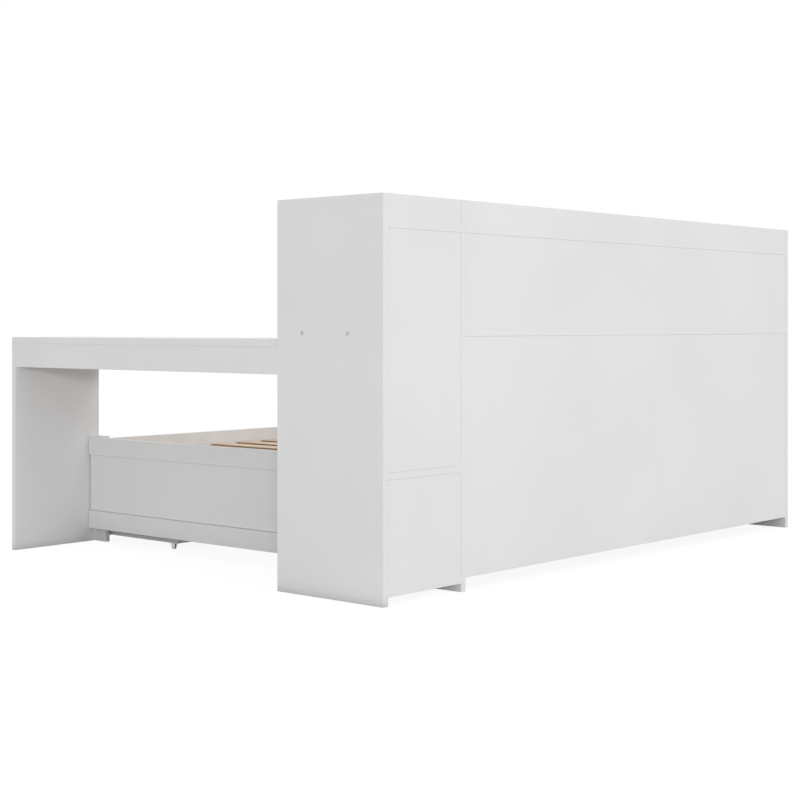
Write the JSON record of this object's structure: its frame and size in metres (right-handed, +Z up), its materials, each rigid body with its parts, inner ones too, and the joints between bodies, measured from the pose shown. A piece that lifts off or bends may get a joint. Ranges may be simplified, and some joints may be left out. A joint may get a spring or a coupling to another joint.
{
  "type": "bed with desk",
  "caption": "White platform bed with a bookcase along its wall side, a desk and shelf column across one end, a slatted base and rolling drawers under the open side.",
  "frame": {"origin": "on the floor, under the middle of the whole object's plan", "axes": "+X from the desk end to the far end of the bed, +Y from the wall side to the open drawer side, +Z up"},
  "size_m": [2.308, 1.709, 1.13],
  "materials": {
    "white_lacquer": "satin white lacquer on board",
    "pine": "planed pine, bare",
    "beech": "turned beech, bare",
    "thin_board": "thin white faced fibreboard",
    "zinc_steel": "zinc plated",
    "wheel_plastic": "moulded grey, matte"
  },
  "bodies": {
    "bed": {"backrest_panel": "white_lacquer", "bookcase_back_lower": "white_lacquer", "bookcase_back_upper": "white_lacquer", "bookcase_dividers": "white_lacquer", "bookcase_end_side": "white_lacquer", "bookcase_shelf": "white_lacquer", "bookcase_top_guard": "white_lacquer", "bookcase_top_shelf": "white_lacquer", "centre_beam": "pine", "centre_legs": "pine", "column_back_lower": "white_lacquer", "column_back_upper": "white_lacquer", "column_bottom": "white_lacquer", "column_desk_shelf": "white_lacquer", "column_inner_side": "white_lacquer", "column_middle_shelf": "white_lacquer", "column_outer_side": "white_lacquer", "column_top_guard": "white_lacquer", "column_top_shelf": "white_lacquer", "corner_post": "white_lacquer", "desk_dowels": "beech", "desk_end_lower_rail": "white_lacquer", "desk_end_panel": "white_lacquer", "desk_end_upper_rail": "white_lacquer", "desk_front_apron": "white_lacquer", "desk_leg_panel": "white_lacquer", "desk_rear_apron": "white_lacquer", "desk_top": "white_lacquer", "far_end_lower_rail": "white_lacquer", "far_end_panel": "white_lacquer", "far_end_stile": "white_lacquer", "far_end_upper_rail": "white_lacquer", "front_rail": "white_lacquer", "middle_post": "white_lacquer", "shelf_barrel_nuts": "zinc_steel", "shelf_bolts": "zinc_steel", "slat_ledgers": "pine", "slat_screws": "zinc_steel", "slats": "pine", "top_tray_divider": "white_lacquer"},
    "desk_drawer": {"desk_drawer_back": "white_lacquer", "desk_drawer_bottom": "thin_board", "desk_drawer_castors": "zinc_steel", "desk_drawer_far_side": "white_lacquer", "desk_drawer_front": "white_lacquer", "desk_drawer_near_side": "white_lacquer"},
    "desk_drawer_wheel_back_near": {"desk_drawer_wheel_back_near": "wheel_plastic"},
    "desk_drawer_wheel_back_far": {"desk_drawer_wheel_back_far": "wheel_plastic"},
    "desk_drawer_wheel_front_near": {"desk_drawer_wheel_front_near": "wheel_plastic"},
    "desk_drawer_wheel_front_far": {"desk_drawer_wheel_front_far": "wheel_plastic"},
    "far_drawer": {"far_drawer_back": "white_lacquer", "far_drawer_bottom": "thin_board", "far_drawer_castors": "zinc_steel", "far_drawer_far_side": "white_lacquer", "far_drawer_front": "white_lacquer", "far_drawer_near_side": "white_lacquer"},
    "far_drawer_wheel_back_near": {"far_drawer_wheel_back_near": "wheel_plastic"},
    "far_drawer_wheel_back_far": {"far_drawer_wheel_back_far": "wheel_plastic"},
    "far_drawer_wheel_front_near": {"far_drawer_wheel_front_near": "wheel_plastic"},
    "far_drawer_wheel_front_far": {"far_drawer_wheel_front_far": "wheel_plastic"}
  },
  "joints": [
    {"name": "desk_drawer_slide", "type": "slide", "parent": "bed", "child": "desk_drawer", "axis": [0, 1, 0], "range_m": [0, 0.42]},
    {"name": "desk_drawer_wheel_back_near_spin", "type": "hinge", "parent": "desk_drawer", "child": "desk_drawer_wheel_back_near", "pos_m": [-0.7795, 0.4465, 0.009], "axis": [-1, 0, 0], "continuous": true},
    {"name": "desk_drawer_wheel_back_far_spin", "type": "hinge", "parent": "desk_drawer", "child": "desk_drawer_wheel_back_far", "pos_m": [0.147, 0.4465, 0.009], "axis": [-1, 0, 0], "continuous": true},
    {"name": "desk_drawer_wheel_front_near_spin", "type": "hinge", "parent": "desk_drawer", "child": "desk_drawer_wheel_front_near", "pos_m": [-0.7795, 0.8115, 0.009], "axis": [-1, 0, 0], "continuous": true},
    {"name": "desk_drawer_wheel_front_far_spin", "type": "hinge", "parent": "desk_drawer", "child": "desk_drawer_wheel_front_far", "pos_m": [0.147, 0.8115, 0.009], "axis": [-1, 0, 0], "continuous": true},
    {"name": "far_drawer_slide", "type": "slide", "parent": "bed", "child": "far_drawer", "axis": [0, 1, 0], "range_m": [0, 0.42]},
    {"name": "far_drawer_wheel_back_near_spin", "type": "hinge", "parent": "far_drawer", "child": "far_drawer_wheel_back_near", "pos_m": [0.181, 0.4465, 0.009], "axis": [-1, 0, 0], "continuous": true},
    {"name": "far_drawer_wheel_back_far_spin", "type": "hinge", "parent": "far_drawer", "child": "far_drawer_wheel_back_far", "pos_m": [1.1075, 0.4465, 0.009], "axis": [-1, 0, 0], "continuous": true},
    {"name": "far_drawer_wheel_front_near_spin", "type": "hinge", "parent": "far_drawer", "child": "far_drawer_wheel_front_near", "pos_m": [0.181, 0.8115, 0.009], "axis": [-1, 0, 0], "continuous": true},
    {"name": "far_drawer_wheel_front_far_spin", "type": "hinge", "parent": "far_drawer", "child": "far_drawer_wheel_front_far", "pos_m": [1.1075, 0.8115, 0.009], "axis": [-1, 0, 0], "continuous": true}
  ],
  "couplings": [
    {"joint": "desk_drawer_wheel_back_near_spin", "follows": "desk_drawer_slide", "rad_per_m": 111.11},
    {"joint": "desk_drawer_wheel_back_far_spin", "follows": "desk_drawer_slide", "rad_per_m": 111.11},
    {"joint": "desk_drawer_wheel_front_near_spin", "follows": "desk_drawer_slide", "rad_per_m": 111.11},
    {"joint": "desk_drawer_wheel_front_far_spin", "follows": "desk_drawer_slide", "rad_per_m": 111.11},
    {"joint": "far_drawer_wheel_back_near_spin", "follows": "far_drawer_slide", "rad_per_m": 111.11},
    {"joint": "far_drawer_wheel_back_far_spin", "follows": "far_drawer_slide", "rad_per_m": 111.11},
    {"joint": "far_drawer_wheel_front_near_spin", "follows": "far_drawer_slide", "rad_per_m": 111.11},
    {"joint": "far_drawer_wheel_front_far_spin", "follows": "far_drawer_slide", "rad_per_m": 111.11}
  ]
}
